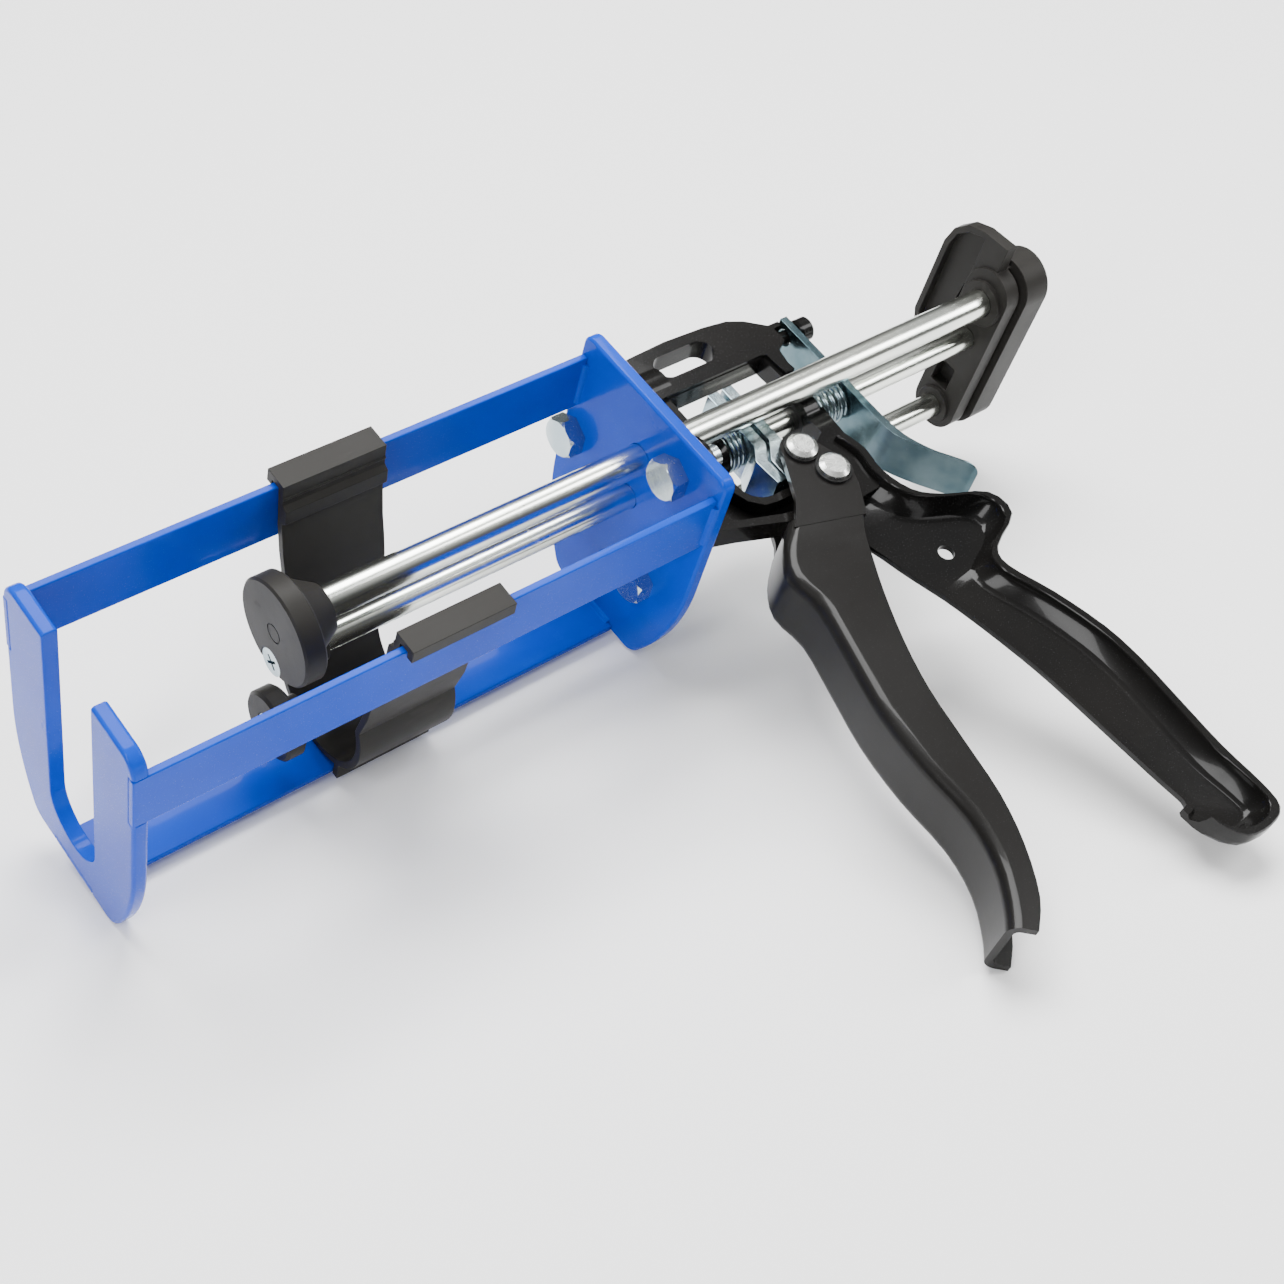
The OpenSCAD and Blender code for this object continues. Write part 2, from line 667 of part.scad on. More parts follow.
module large_plunger() {
    rim_t = 7.5;
    hub_t = 9;
    color([0.16, 0.16, 0.165]) laid() difference() {
        union() {
            eased_bar(plunger_x - rim_t, plunger_x, large_plunger_r, 0, large_plunger_z, 0.7);
            translate([plunger_x - rim_t - hub_t, 0, large_rod_z - 2]) rotate([0, 90, 0])
                cylinder(h = hub_t, r1 = 8, r2 = 13.5);
            bar(plunger_x - rim_t - hub_t, plunger_x - rim_t, 6.5);
            translate([plunger_x - rim_t - hub_t, -5, 0]) cube([hub_t, 10, large_rod_z - 4]);
        }
        bar(0, drive_nose, drive_r + seat_gap);
        bar(0, large_nose, large_rod_r + seat_gap, 0, large_rod_z);
        translate([plunger_x, 0, 0]) screw_seat(12);
        // Shallow ring on the face
        translate([plunger_x - 0.3, 0, large_plunger_z]) rotate([0, 90, 0]) difference() {
            cylinder(h = 1, r = 3.4);
            translate([0, 0, -1]) cylinder(h = 3, r = 2.9);
        }
    }
}

module small_plunger() {
    color([0.16, 0.16, 0.165]) laid() difference() {
        union() {
            eased_bar(small_x - 7.2, small_x, small_plunger_r, 0, -small_rod_z, 1);
            bar(small_x - 12, small_x - 7.2, 6.2, 0, -small_rod_z);
        }
        bar(0, small_nose, small_rod_r + seat_gap, 0, -small_rod_z);
        translate([small_x, 0, -small_rod_z]) screw_seat(12);
    }
}

module plunger_screws() {
    color("lightsteelblue") laid() {
        translate([plunger_x - head_sink, 0, 0]) cross_screw(screw_len);
        translate([small_x - head_sink, 0, -small_rod_z]) cross_screw(screw_len);
    }
}

// The pull wing's outline, to the far side of the rods
wing_line = [[0, 43], [-12, 41.9], [-19, 39], [-24, 33.5], [-26, 26], [-26, -8], [-23, -16], [-14, -20], [0, -20]];

module rear_bridge() {
    front = -bridge_x;
    groove_x = front - 8;
    back_front = front - 10;
    wing_x = front - 2.5;
    wing_t = 5;
    back_r = 12;
    color([0.16, 0.16, 0.165]) laid() difference() {
        union() {
            across(groove_x, front - 1.5) stadium(-small_rod_z, large_rod_z + 3.6, 10);
            bar(front - 3, front, 8.9, 0, large_rod_z - 0.4);
            bar(front - 3, front, 7.4, 0, -small_rod_z);
            across(back_front, groove_x) stadium(-small_rod_z + 1, large_rod_z + 2.6, 8.4);
            across(tail_x + 0.8, back_front) stadium(-small_rod_z + 2, large_rod_z + 4, back_r);
            across(tail_x, tail_x + 0.8) stadium(-small_rod_z + 2, large_rod_z + 4, back_r - 0.8);
            across(wing_x - wing_t, wing_x) polygon(wing_line);
            // Web that carries the wing at the back flange
            across(back_front - 3, wing_x - wing_t) translate([-15, -14]) square([15, 46]);
        }
        bar(rod_tail, front + 1, drive_r + seat_gap);
        bar(rod_tail, front + 1, large_rod_r + seat_gap, 0, large_rod_z);
        bar(rod_tail, front + 1, small_rod_r + seat_gap, 0, -small_rod_z);
        for (z = [0, large_rod_z, -small_rod_z]) translate([tail_x, 0, z]) rotate([0, 0, 180]) screw_seat(12);
        // Sunk panel on the wing's front
        across(wing_x - wing_t + 1.5, wing_x + 1) polygon([[-10.3, 39.4], [-12, 39.3], [-17.8, 36.8],
            [-21.9, 32.2], [-23.5, 25.5], [-23.5, -7.5], [-21, -13.6], [-13.6, -17.4], [-10.3, -17.4]]);
        // Pocket between the drive rod and the small push rod
        across(groove_x + 2, front + 1) translate([-6, -27]) square([8, 11]);
    }
}

module bridge_screws() {
    color("lightsteelblue") laid() for (z = [0, large_rod_z, -small_rod_z])
        translate([tail_x + head_sink, 0, z]) rotate([0, 0, 180]) cross_screw(screw_len);
}

// ---- cartridge clip ---------------------------------------------------------------------------------

// The clip's inner side, from its hook down to the middle of its bowl
function clip_inner(e) = concat(
    [[yoke_half - strap_t - pass_gap - clip_t + e, strap_high + pass_gap], [28.3 + e, 20], [26.2 + e, 9],
        [24 + e, 1], [22.2 + e, -7], [21.4 + e, -15]],
    arc([0, -36], 20.7 + e, 24, -90, 16));

module cartridge_clip() {
    top = strap_high + pass_gap + clip_t;
    lip_in = yoke_half + pass_gap;
    lip_drop = 5;
    wall = clip_inner(0);
    back = clip_inner(clip_t);
    color([0.16, 0.16, 0.165]) laid() across(clip_x, clip_x + clip_len) for (s = [-1, 1]) scale([s, 1]) {
        polygon(concat(wall, reversed(back)));
        // Hook over the side strap
        translate([wall[0].x, strap_high + pass_gap]) square([lip_in + clip_t - wall[0].x, clip_t]);
        translate([lip_in, top - lip_drop]) square([clip_t, lip_drop]);
        // Lengthwise swelling and a fine rib above it
        polygon([[30, 30.5], [27, 28.6], [26.7, 23.5], [29.6, 20.5]]);
        translate([28.8, 32]) square([1.4, 0.8]);
        // Lips past the bottom strap's edges
        translate([bottom_half + pass_gap, -cradle_drop + 1]) square([clip_t, 8]);
    }
}

rear_plate();
front_yoke();
far_strap();
near_strap();
bottom_strap();
weld_beads();
flange_bolts();
body_casting();
front_bush();
rear_bush();
release_stud();
trigger_lever();
trigger_pivot_pin();
pivot_collars();
pusher_pin();
pusher_roller();
front_grip_plate();
rear_grip_plate();
return_spring();
release_lever();
release_spring();
drive_rod();
large_push_rod();
small_push_rod();
large_plunger();
small_plunger();
plunger_screws();
rear_bridge();
bridge_screws();
cartridge_clip();
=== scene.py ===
"""Looks of a two-part cartridge dispensing gun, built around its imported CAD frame.

Every length is in metres, in the part's own frame: +X runs forwards along the rods, +Y towards the
handle's end and +Z up from the bench.
"""

import json
import logging
import math
from dataclasses import dataclass, replace
from enum import Enum
from typing import Any, Iterable, Mapping, Sequence

import bmesh
import bpy
from mathutils import Matrix, Vector

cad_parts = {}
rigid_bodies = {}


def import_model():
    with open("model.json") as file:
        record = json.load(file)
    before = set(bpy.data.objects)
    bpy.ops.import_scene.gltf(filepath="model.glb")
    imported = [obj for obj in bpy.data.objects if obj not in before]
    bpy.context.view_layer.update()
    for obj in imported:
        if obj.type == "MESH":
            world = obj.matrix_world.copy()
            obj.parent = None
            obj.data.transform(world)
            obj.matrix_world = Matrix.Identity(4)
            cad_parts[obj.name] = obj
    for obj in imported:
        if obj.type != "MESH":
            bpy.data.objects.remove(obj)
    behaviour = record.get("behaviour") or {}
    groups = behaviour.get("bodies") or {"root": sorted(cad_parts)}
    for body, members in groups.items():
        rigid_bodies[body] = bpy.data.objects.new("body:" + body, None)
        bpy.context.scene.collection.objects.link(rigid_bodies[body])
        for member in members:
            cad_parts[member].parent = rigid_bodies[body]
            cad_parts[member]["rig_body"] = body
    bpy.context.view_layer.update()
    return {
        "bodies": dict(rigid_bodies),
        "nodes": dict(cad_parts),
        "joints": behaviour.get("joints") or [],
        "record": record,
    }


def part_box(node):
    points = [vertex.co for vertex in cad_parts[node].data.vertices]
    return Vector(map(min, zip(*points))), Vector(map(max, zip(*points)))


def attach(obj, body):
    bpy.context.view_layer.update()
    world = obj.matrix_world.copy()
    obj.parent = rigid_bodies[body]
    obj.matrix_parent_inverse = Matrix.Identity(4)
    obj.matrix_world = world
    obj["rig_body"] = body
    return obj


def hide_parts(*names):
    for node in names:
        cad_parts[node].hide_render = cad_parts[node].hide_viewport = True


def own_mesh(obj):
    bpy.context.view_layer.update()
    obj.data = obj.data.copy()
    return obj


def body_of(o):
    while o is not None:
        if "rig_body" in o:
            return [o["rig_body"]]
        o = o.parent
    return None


LOG = logging.getLogger("gun")
MM = 0.001
WELD_DISTANCE = 0.002 * MM
FLAT_DEG = 0.6
SMOOTH_DEG = 40.0
Colour = tuple[float, float, float]
Place = tuple[float, float, float]
Frame = Mapping[str, Any]


# ---- shader maths -----------------------------------------------------------------------------


class Wire:
    """A shader value that takes part in arithmetic; each operator adds one Math node."""

    def __init__(self, sheet: "ShaderSheet", socket: bpy.types.NodeSocket) -> None:
        """Wraps a socket of the given sheet."""
        self.sheet = sheet
        self.socket = socket

    def _math(self, operation: str, *operands: Any) -> "Wire":
        """Adds a Math node.

        Args:
            operation: The Math node's operation.
            operands: Wires or numbers, in the node's own order.

        Returns:
            The node's result.
        """
        node = self.sheet.node("ShaderNodeMath", {"operation": operation}, dict(enumerate(operands)))
        return Wire(self.sheet, node.outputs[0])

    def __add__(self, other: Any) -> "Wire":
        """Returns self + other."""
        return self._math("ADD", self, other)

    __radd__ = __add__

    def __mul__(self, other: Any) -> "Wire":
        """Returns self * other."""
        return self._math("MULTIPLY", self, other)

    __rmul__ = __mul__

    def __sub__(self, other: Any) -> "Wire":
        """Returns self - other."""
        return self._math("SUBTRACT", self, other)

    def __rsub__(self, other: Any) -> "Wire":
        """Returns other - self."""
        return self._math("SUBTRACT", other, self)

    def above(self, low: float, high: float) -> "Wire":
        """Returns 0 below low, 1 above high and a smooth step between them."""
        node = self.sheet.node("ShaderNodeMapRange", {"interpolation_type": "SMOOTHSTEP"},
                               {"Value": self, "From Min": low, "From Max": high})
        return Wire(self.sheet, node.outputs[0])


class ShaderSheet:
    """The node tree of one material or of the room."""

    def __init__(self, owner: bpy.types.Material | bpy.types.World, coordinates: str = "Object") -> None:
        """Starts an empty node tree.

        Args:
            owner: The material or world whose tree it is.
            coordinates: The output of the coordinate node that patterns are laid out in.
        """
        self.owner = owner
        owner.use_nodes = True
        self.tree = owner.node_tree
        self.tree.nodes.clear()
        self.place = Wire(self, self.node("ShaderNodeTexCoord").outputs[coordinates])

    @classmethod
    def of_material(cls, name: str) -> "ShaderSheet":
        """Returns the sheet of a new material with the given name."""
        return cls(bpy.data.materials.new(name))

    def node(self, kind: str, settings: Mapping[str, Any] | None = None,
             inputs: Mapping[Any, Any] | None = None) -> bpy.types.Node:
        """Adds any node.

        Args:
            kind: The node's type.
            settings: Its own settings, set first; "stops" are a ramp's (place, colour) pairs.
            inputs: Values or wires for its sockets, by name or by number.

        Returns:
            The new node.
        """
        node = self.tree.nodes.new(kind)
        for name, value in (settings or {}).items():
            if name == "stops":
                ramp = node.color_ramp.elements
                while len(ramp) < len(value):
                    ramp.new(1.0)
                for stop, (spot, colour) in zip(ramp, value):
                    stop.position = spot
                    stop.color = (*colour, 1.0)
            else:
                setattr(node, name, value)
        for name, value in (inputs or {}).items():
            socket = node.inputs[name]
            if isinstance(value, Wire):
                self.tree.links.new(value.socket, socket)
            else:
                socket.default_value = value
        return node

    def noise(self, scale: float, stretch: Sequence[float] = (1.0, 1.0, 1.0), detail: float = 3.0) -> Wire:
        """Returns a noise over the surface.

        Args:
            scale: Features per metre.
            stretch: Factors on the three directions, small along the grain.
            detail: Octaves of finer noise.
        """
        spread = self.node("ShaderNodeMapping", {}, {"Vector": self.place, "Scale": tuple(stretch)})
        node = self.node("ShaderNodeTexNoise", {}, {"Vector": Wire(self, spread.outputs[0]), "Scale": scale,
                                                   "Detail": detail})
        return Wire(self, node.outputs[0])

    def blend(self, amount: Wire, first: Colour | Wire, second: Colour | Wire) -> Wire:
        """Returns a colour between first, at amount 0, and second, at amount 1."""
        colours = [c if isinstance(c, Wire) else (*c, 1.0) for c in (first, second)]
        node = self.node("ShaderNodeMix", {"data_type": "RGBA"}, {0: amount, 6: colours[0], 7: colours[1]})
        return Wire(self, node.outputs[2])

    def bump(self, height: Wire, depth: float, base: Wire | None = None) -> Wire:
        """Returns a normal from a height.

        Args:
            height: The height, 0 to 1.
            depth: What a height of 1 stands for, in metres.
            base: A coarser bump that this one lies on.
        """
        inputs: dict[Any, Any] = {"Height": height, "Distance": depth, "Strength": 1.0}
        if base is not None:
            inputs["Normal"] = base
        return Wire(self, self.node("ShaderNodeBump", {}, inputs).outputs[0])

    def finish(self, **sockets: Any) -> bpy.types.Material:
        """Ends the sheet with a surface shader.

        Args:
            sockets: Values or wires for the shader's sockets, with _ for a space.

        Returns:
            The finished material.
        """
        inputs = {name.replace("_", " "): value for name, value in sockets.items()}
        shader = self.node("ShaderNodeBsdfPrincipled", {}, inputs)
        self.node("ShaderNodeOutputMaterial", {}, {"Surface": Wire(self, shader.outputs[0])})
        return self.owner


# ---- finishes -----------------------------------------------------------------------------------


@dataclass(frozen=True)
class GlossPaint:
    """Baked gloss enamel with a slight orange peel, dust in the film and rubbed spots.

    The peel is the depth of its waves in metres, and the coat and shine are how strongly it reflects.
    """

    name: str
    slot: str
    colour: Colour
    deep: Colour
    roughness: float
    peel: float
    speck: Colour
    coat: float
    shine: float

    def build(self) -> bpy.types.Material:
        """Returns the paint's material."""
        sheet = ShaderSheet.of_material(self.name)
        drift = sheet.noise(22.0)
        peel = sheet.noise(420.0, detail=1.5)
        wave = sheet.noise(70.0, detail=1.0)
        specks = sheet.noise(2600.0, detail=0.0).above(0.74, 0.79)
        rubbed = sheet.noise(38.0, detail=6.0).above(0.6, 0.78)
        body = sheet.blend(drift.above(0.3, 0.7), self.colour, self.deep)
        colour = sheet.blend(specks * 0.15, body, self.speck)
        roughness = self.roughness + rubbed * 0.1 + specks * 0.12
        normal = sheet.bump(peel, self.peel, sheet.bump(wave, self.peel * 3.0))
        return sheet.finish(Base_Color=colour, Roughness=roughness, Normal=normal,
                            Coat_Weight=self.coat * (1.0 - rubbed * 0.35), Coat_Roughness=0.05,
                            Specular_IOR_Level=self.shine)


@dataclass(frozen=True)
class MouldedPlastic:
    """Filled moulding plastic with a fine spark-eroded grain, flow clouds and light scuffs."""

    name: str
    slot: str
    colour: Colour
    worn: Colour
    roughness: float

    def build(self) -> bpy.types.Material:
        """Returns the plastic's material."""
        sheet = ShaderSheet.of_material(self.name)
        cloud = sheet.noise(45.0, detail=4.0).above(0.35, 0.7)
        grain = sheet.noise(3200.0, detail=1.0)
        scuff = sheet.noise(160.0, (0.25, 1.0, 1.0), 6.0).above(0.62, 0.72)
        colour = sheet.blend(scuff * 0.45 + cloud * 0.15, self.colour, self.worn)
        roughness = self.roughness + scuff * 0.12 + cloud * 0.06
        normal = sheet.bump(grain, 0.00002, sheet.bump(cloud, 0.00006))
        return sheet.finish(Base_Color=colour, Roughness=roughness, Normal=normal, Specular_IOR_Level=0.1)


@dataclass(frozen=True)
class GroundRod:
    """Bright drawn and polished bar with fine lines along it and faint grip marks."""

    name: str
    slot: str
    colour: Colour
    shade: Colour
    roughness: float

    def build(self) -> bpy.types.Material:
        """Returns the bar's material."""
        sheet = ShaderSheet.of_material(self.name)
        lines = sheet.noise(900.0, (0.01, 1.0, 1.0), 2.0)
        marks = sheet.noise(240.0, (1.0, 0.3, 0.3), 3.0).above(0.6, 0.7)
        haze = sheet.noise(30.0, detail=4.0)
        colour = sheet.blend(haze.above(0.35, 0.75), self.colour, self.shade)
        roughness = self.roughness + lines * 0.08 + marks * 0.05
        return sheet.finish(Base_Color=colour, Metallic=1.0, Roughness=roughness,
                            Normal=sheet.bump(lines, 0.000006))


@dataclass(frozen=True)
class ZincPlate:
    """Zinc-plated steel: a patchy bluish passivation over fine rolling marks."""

    name: str
    slot: str
    colour: Colour
    tint: Colour
    roughness: float
    grain: tuple[float, float, float] = (1.0, 0.12, 1.0)

    def build(self) -> bpy.types.Material:
        """Returns the plating's material."""
        sheet = ShaderSheet.of_material(self.name)
        patches = sheet.noise(60.0, detail=5.0).above(0.3, 0.72)
        spangle = sheet.noise(420.0, detail=3.0)
        rolled = sheet.noise(1500.0, self.grain, 2.0)
        pits = sheet.noise(1900.0, detail=2.0).above(0.68, 0.76)
        colour = sheet.blend(pits * 0.5, sheet.blend(patches, self.colour, self.tint), (0.12, 0.12, 0.13))
        roughness = self.roughness + spangle * 0.16 + pits * 0.2
        normal = sheet.bump(rolled, 0.000012, sheet.bump(spangle, 0.00002))
        return sheet.finish(Base_Color=colour, Metallic=0.95, Roughness=roughness, Normal=normal)


class Finish(Enum):
    """Every finish on the gun."""

    CRADLE_BLUE = GlossPaint(
        "cradle_blue", "cradle_blue", colour=(0.0, 0.048, 0.46), deep=(0.0, 0.040, 0.40), roughness=0.22,
        peel=0.000012, speck=(0.01, 0.10, 0.50), coat=0.08, shine=0.05)
    GLOSS_BLACK = GlossPaint(
        "gloss_black", "gloss_black", colour=(0.007, 0.0065, 0.006), deep=(0.004, 0.004, 0.004), roughness=0.2,
        peel=0.000012, speck=(0.05, 0.05, 0.055), coat=0.14, shine=0.1)
    TRIGGER_BLACK = GlossPaint(
        "trigger_black", "gloss_black", colour=(0.010, 0.0095, 0.009), deep=(0.007, 0.0065, 0.006),
        roughness=0.3, peel=0.000010, speck=(0.06, 0.06, 0.06), coat=0.14, shine=0.1)
    DARK_PLASTIC = MouldedPlastic(
        "dark_plastic", "dark_plastic", colour=(0.018, 0.017, 0.0155), worn=(0.036, 0.034, 0.031), roughness=0.42)
    BUSH_BLACK = MouldedPlastic(
        "bush_black", "black_plastic", colour=(0.010, 0.010, 0.010), worn=(0.03, 0.03, 0.03), roughness=0.3)
    BRIGHT_ROD = GroundRod(
        "bright_rod", "bright_rod", colour=(0.84, 0.86, 0.79), shade=(0.74, 0.77, 0.72), roughness=0.17)
    ZINC = ZincPlate("zinc", "zinc", colour=(0.44, 0.52, 0.55), tint=(0.20, 0.29, 0.33), roughness=0.12)
    DARK_ZINC = ZincPlate(
        "dark_zinc", "zinc", colour=(0.15, 0.21, 0.23), tint=(0.065, 0.115, 0.135), roughness=0.12)
    BOLT_STEEL = ZincPlate(
        "bolt_steel", "bolt_steel", colour=(0.62, 0.67, 0.68), tint=(0.36, 0.44, 0.48), roughness=0.14)
    RIVET_STEEL = ZincPlate(
        "rivet_steel", "rivet_steel", colour=(0.78, 0.79, 0.76), tint=(0.66, 0.68, 0.66), roughness=0.18)


class Paintshop:
    """Makes each finish once and puts it on nodes and pieces."""

    def __init__(self, frame: Frame) -> None:
        """Keeps the frame whose nodes it dresses."""
        self.frame = frame
        self.made: dict[Finish, bpy.types.Material] = {}

    def material(self, finish: Finish) -> bpy.types.Material:
        """Returns the finish's material, made on first use."""
        if finish not in self.made:
            self.made[finish] = finish.value.build()
        return self.made[finish]

    def dress(self, finish: Finish, *nodes: str) -> None:
        """Puts a finish on CAD nodes."""
        for name in nodes:
            self.coat(self.frame["nodes"][name], finish)

    def round_edges(self, finish: Finish, width_mm: float, *nodes: str, sharper_than: float = 32.0) -> None:
        """Stands a copy with rounded edges in for each CAD node.

        Args:
            finish: The finish of the copies.
            width_mm: How far the rounding reaches in from each edge.
            nodes: The CAD nodes.
            sharper_than: Edges that turn by more degrees than this are rounded.
        """
        turn = math.radians(sharper_than)
        for name in nodes:
            source = self.frame["nodes"][name]
            mesh = source.data.copy()
            solid = bmesh.new()
            solid.from_mesh(mesh)
            bmesh.ops.remove_doubles(solid, verts=solid.verts, dist=WELD_DISTANCE)
            bmesh.ops.dissolve_limit(solid, angle_limit=math.radians(FLAT_DEG), verts=solid.verts,
                                     edges=solid.edges)
            sharp = [e for e in solid.edges if len(e.link_faces) == 2 and e.calc_face_angle(0.0) > turn]
            bmesh.ops.bevel(solid, geom=sharp, offset=width_mm * MM, offset_type="OFFSET", segments=3, profile=0.5,
                            affect="EDGES", clamp_overlap=True, loop_slide=True)
            self.add_piece(f"{name}_eased", mesh, solid, finish, source, name)

    def add_piece(self, title: str, mesh: bpy.types.Mesh, solid: bmesh.types.BMesh, finish: Finish,
                  source: bpy.types.Object, *nodes: str) -> bpy.types.Object:
        """Adds a finished piece that stands for CAD nodes and moves with their body.

        Args:
            title: The piece's name.
            mesh: The mesh that takes the shape.
            solid: The shape; it is freed.
            finish: The piece's finish.
            source: A CAD node on the same body.
            nodes: The CAD nodes that the piece stands for.
        """
        solid.to_mesh(mesh)
        solid.free()
        mesh.name = title
        mesh.shade_smooth()
        mesh.set_sharp_from_angle(angle=math.radians(SMOOTH_DEG))
        piece = bpy.data.objects.new(title, mesh)
        bpy.context.collection.objects.link(piece)
        even = piece.modifiers.new("even_shading", "WEIGHTED_NORMAL")
        even.keep_sharp = True
        self.coat(piece, finish)
        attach(piece, body_of(source)[0])
        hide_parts(*nodes)
        return piece

    def coat(self, obj: bpy.types.Object, finish: Finish) -> None:
        """Puts a finish on one object in place of what it has."""
        obj.data.materials.clear()
        obj.data.materials.append(self.material(finish))


# ---- sub-assemblies -----------------------------------------------------------------------------


@dataclass(frozen=True)
class Coil:
    """A round-wire spring on the drive rod, its end turns wound close. Its sizes are in millimetres.
    """

    node: str
    joint: str
    keep: float
    turns: float
    start: float = 0.0
    end: float = 0.0
    radius: float = 7.1
    wire: float = 0.88
    close_gap: float = 0.19
    inset: float = 0.02
    steps: int = 48
    ring: int = 14

    def centre(self, turn: float) -> tuple[float, float]:
        """Returns the wire's place along the rod and its angle round it, a number of turns from the start."""
        close = 2 * self.wire + self.close_gap
        travel = self.end - self.start - 2 * (self.wire + self.inset)
        wide = (travel - 2 * close) / (self.turns - 2)
        along = close + (turn - 1) * wide
        if turn < 1:
            along = turn * close
        elif turn > self.turns - 1:
            along = travel - (self.turns - turn) * close
        return self.start + self.wire + self.inset + along, math.tau * turn

    def solid(self, axis: Vector, roll: float) -> bmesh.types.BMesh:
        """Returns the wire as a closed tube.

        Args:
            axis: A point on the drive rod's axis, in metres; only its Y and Z count.
            roll: How far the gun leans about the rod, in radians.
        """
        tube = bmesh.new()
        rows = []
        for i in range(round(self.turns * self.steps) + 1):
            along, angle = self.centre(i / self.steps)
            row = []
            for j in range(self.ring):
                spot = math.tau * j / self.ring
                x = along + self.wire * math.sin(spot)
                reach = (self.radius + self.wire * math.cos(spot)) * MM
                row.append(tube.verts.new((x * MM, axis.y + reach * math.cos(angle - roll),
                                           axis.z + reach * math.sin(angle - roll))))
            rows.append(row)
        for first, second in zip(rows, rows[1:]):
            for j in range(self.ring):
                k = (j + 1) % self.ring
                tube.faces.new((first[j], first[k], second[k], second[j]))
        tube.faces.new(rows[0])
        tube.faces.new(list(reversed(rows[-1])))
        bmesh.ops.recalc_face_normals(tube, faces=tube.faces)
        return tube


@dataclass
class Cradle:
    """The painted frame that holds the cartridge: plates, straps and welds."""

    painted: tuple[str, ...] = ("rear_plate", "front_yoke", "far_strap", "near_strap", "bottom_strap", "weld_beads")
    edge_mm: float = 0.5

    def build(self, shop: Paintshop) -> None:
        """Dresses the cradle."""
        shop.round_edges(Finish.CRADLE_BLUE, self.edge_mm, *self.painted)
        shop.dress(Finish.BOLT_STEEL, "flange_bolts")


@dataclass
class Body:
    """The cast body with its handle, bushes and release stud."""

    edge_mm: float = 0.25
    sharp_deg: float = 48.0

    def build(self, shop: Paintshop) -> None:
        """Dresses the body."""
        shop.round_edges(Finish.GLOSS_BLACK, self.edge_mm, "body_casting", sharper_than=self.sharp_deg)
        shop.dress(Finish.GLOSS_BLACK, "release_stud")
        shop.dress(Finish.BUSH_BLACK, "front_bush", "rear_bush")


@dataclass
class Trigger:
    """The pressed trigger with its rivets, collars and roller."""

    edge_mm: float = 0.4

    def build(self, shop: Paintshop) -> None:
        """Dresses the trigger."""
        shop.round_edges(Finish.TRIGGER_BLACK, self.edge_mm, "trigger_lever")
        shop.dress(Finish.RIVET_STEEL, "trigger_pivot_pin", "pusher_pin")
        shop.dress(Finish.BUSH_BLACK, "pivot_collars")
        shop.dress(Finish.BOLT_STEEL, "pusher_roller")


@dataclass
class Drive:
    """The grip plates, the release lever and their springs."""

    edge_mm: float = 0.35
    pivot: str = "trigger_squeeze"
    springs: tuple[Coil, ...] = (Coil("return_spring", "grip_slide", 0.38, 3),
                                 Coil("release_spring", "release_press", 0.6, 5))

    def build(self, shop: Paintshop) -> None:
        """Dresses the plates and lever and winds the springs."""
        shop.round_edges(Finish.ZINC, self.edge_mm, "front_grip_plate", "rear_grip_plate")
        shop.round_edges(Finish.DARK_ZINC, self.edge_mm, "release_lever")
        low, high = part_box("front_bush")
        axis = (low + high) / 2
        roll = self.roll(shop.frame)
        for coil in self.springs:
            source = shop.frame["nodes"][coil.node]
            low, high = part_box(coil.node)
            fitted = replace(coil, start=low.x / MM, end=high.x / MM)
            piece = shop.add_piece(f"{coil.node}_wire", bpy.data.meshes.new(coil.node), fitted.solid(axis, roll),
                                   Finish.ZINC, source, coil.node)
            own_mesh(piece)

    def roll(self, frame: Frame) -> float:
        """Returns how far the gun leans about its rods, in radians, from the trigger's pivot."""
        axis = next(joint["axis"] for joint in frame["joints"] if joint["name"] == self.pivot)
        return math.atan2(axis[1], axis[2])


@dataclass
class RodSet:
    """The three rods with their plungers, screws and rear bridge, and the clip that slides beside them."""

    edge_mm: float = 0.4

    def build(self, shop: Paintshop) -> None:
        """Dresses the rods, plungers, bridge and clip."""
        shop.dress(Finish.BRIGHT_ROD, "drive_rod", "large_push_rod", "small_push_rod")
        shop.round_edges(Finish.DARK_PLASTIC, self.edge_mm, "rear_bridge", "cartridge_clip")
        shop.dress(Finish.DARK_PLASTIC, "large_plunger", "small_plunger")
        shop.dress(Finish.ZINC, "plunger_screws", "bridge_screws")


# ---- studio -------------------------------------------------------------------------------------


@dataclass(frozen=True)
class Panel:
    """One soft light panel: where it hangs, its width and height in metres, and its power in watts."""

    name: str
    place: Place
    size: tuple[float, float]
    power: float


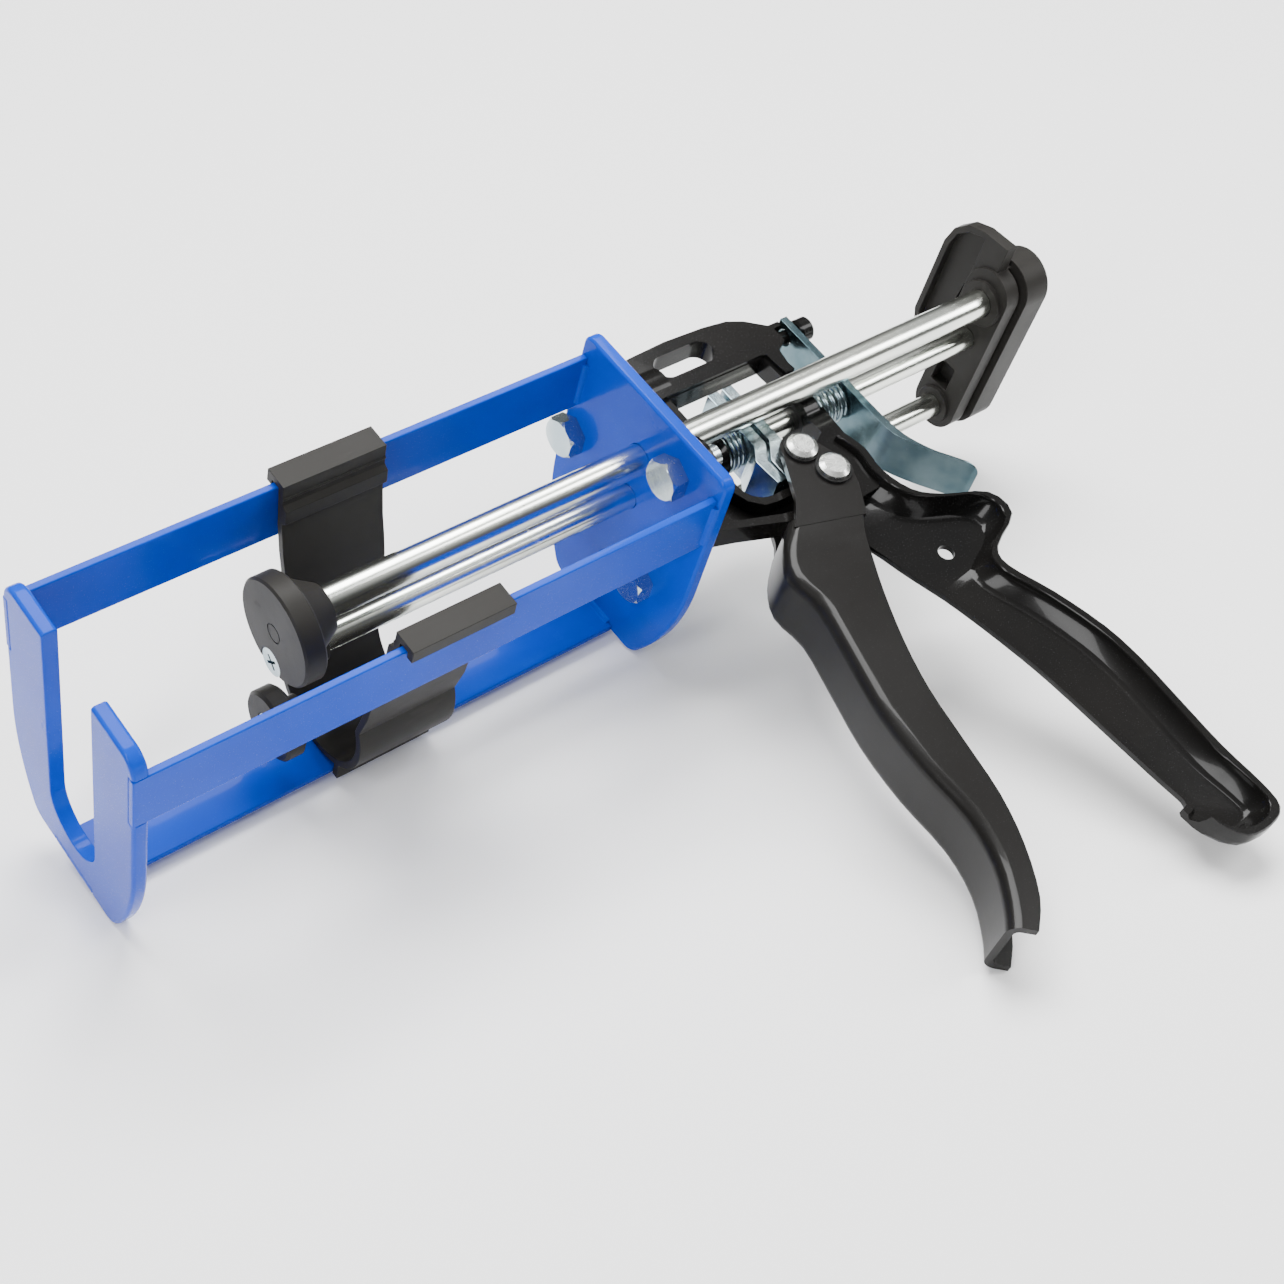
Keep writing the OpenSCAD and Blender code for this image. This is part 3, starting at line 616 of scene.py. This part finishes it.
@dataclass
class Studio:
    """A pale floor, a bright soft room and the camera."""

    floor_half: float = 3.0
    eye: Place = (0.32706, 0.31580, 0.45425)
    target: Place = (0.02137, -0.03445, 0.05)
    roll_deg: float = 2.401
    lens_mm: float = 55.04
    sensor_mm: float = 36.0
    room_strength: float = 0.75
    room: tuple[tuple[float, Colour], ...] = ((0.35, (0.12, 0.12, 0.12)), (0.95, (1.0, 1.0, 1.0)))
    panels: tuple[Panel, ...] = (
        Panel("key", (-0.2, -0.6, 1.7), (1.5, 1.0), 78.0),
        Panel("fill", (-1.2, 0.7, 1.2), (0.5, 1.3), 24.0),
        Panel("front", (1.3, 0.5, 1.0), (0.45, 1.2), 22.0))

    def build(self) -> None:
        """Builds the floor, the lights and the camera."""
        self.lay_floor()
        self.light_room()
        for panel in self.panels:
            self.hang(panel)
        self.set_camera()

    def lay_floor(self) -> None:
        """Lays a wide pale floor."""
        mesh = bpy.data.meshes.new("floor")
        h = self.floor_half
        mesh.from_pydata([(-h, -h, 0), (h, -h, 0), (h, h, 0), (-h, h, 0)], [], [(0, 1, 2, 3)])
        floor = bpy.data.objects.new("floor", mesh)
        bpy.context.collection.objects.link(floor)
        sheet = ShaderSheet.of_material("floor_paper")
        tone = sheet.blend(sheet.noise(3.0), (0.93, 0.93, 0.93), (0.95, 0.95, 0.95))
        mesh.materials.append(sheet.finish(Base_Color=tone, Roughness=0.9, Specular_IOR_Level=0.1))

    def light_room(self) -> None:
        """Lights the room from all round, brighter from above."""
        world = bpy.data.worlds.new("room")
        sheet = ShaderSheet(world, "Generated")
        split = sheet.node("ShaderNodeSeparateXYZ", {}, {0: sheet.place})
        sky = sheet.node("ShaderNodeValToRGB", {"stops": self.room}, {0: Wire(sheet, split.outputs[2])})
        glow = sheet.node("ShaderNodeBackground", {}, {"Color": Wire(sheet, sky.outputs[0]),
                                                       "Strength": self.room_strength})
        sheet.node("ShaderNodeOutputWorld", {}, {"Surface": Wire(sheet, glow.outputs[0])})
        bpy.context.scene.world = world

    def hang(self, panel: Panel) -> None:
        """Hangs one light panel so that it faces the gun."""
        data = bpy.data.lights.new(panel.name, "AREA")
        data.shape = "RECTANGLE"
        data.size, data.size_y = panel.size
        data.energy = panel.power
        lamp = bpy.data.objects.new(panel.name, data)
        lamp.location = panel.place
        lamp.rotation_euler = (Vector(self.target) - Vector(panel.place)).to_track_quat("-Z", "Y").to_euler()
        bpy.context.collection.objects.link(lamp)

    def set_camera(self) -> None:
        """Stands the camera where it sees the gun from its front quarter, a little above."""
        data = bpy.data.cameras.new("camera")
        data.lens = self.lens_mm
        data.sensor_width = self.sensor_mm
        data.sensor_height = self.sensor_mm
        data.sensor_fit = "HORIZONTAL"
        data.clip_start = 0.01
        camera = bpy.data.objects.new("camera", data)
        aim = (Vector(self.target) - Vector(self.eye)).to_track_quat("-Z", "Y")
        turn = aim.to_matrix().to_4x4() @ Matrix.Rotation(math.radians(self.roll_deg), 4, "Z")
        camera.matrix_world = Matrix.Translation(Vector(self.eye)) @ turn
        bpy.context.collection.objects.link(camera)
        bpy.context.scene.camera = camera


def main() -> None:
    """Builds every sub-assembly's looks around the CAD frame."""
    logging.basicConfig(level=logging.INFO, format="%(name)s: %(message)s")
    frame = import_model()
    shop = Paintshop(frame)
    for assembly in (Cradle(), Body(), Trigger(), Drive(), RodSet()):
        assembly.build(shop)
        LOG.info("built %s", type(assembly).__name__)
    Studio().build()


if __name__ == "__main__":
    main()
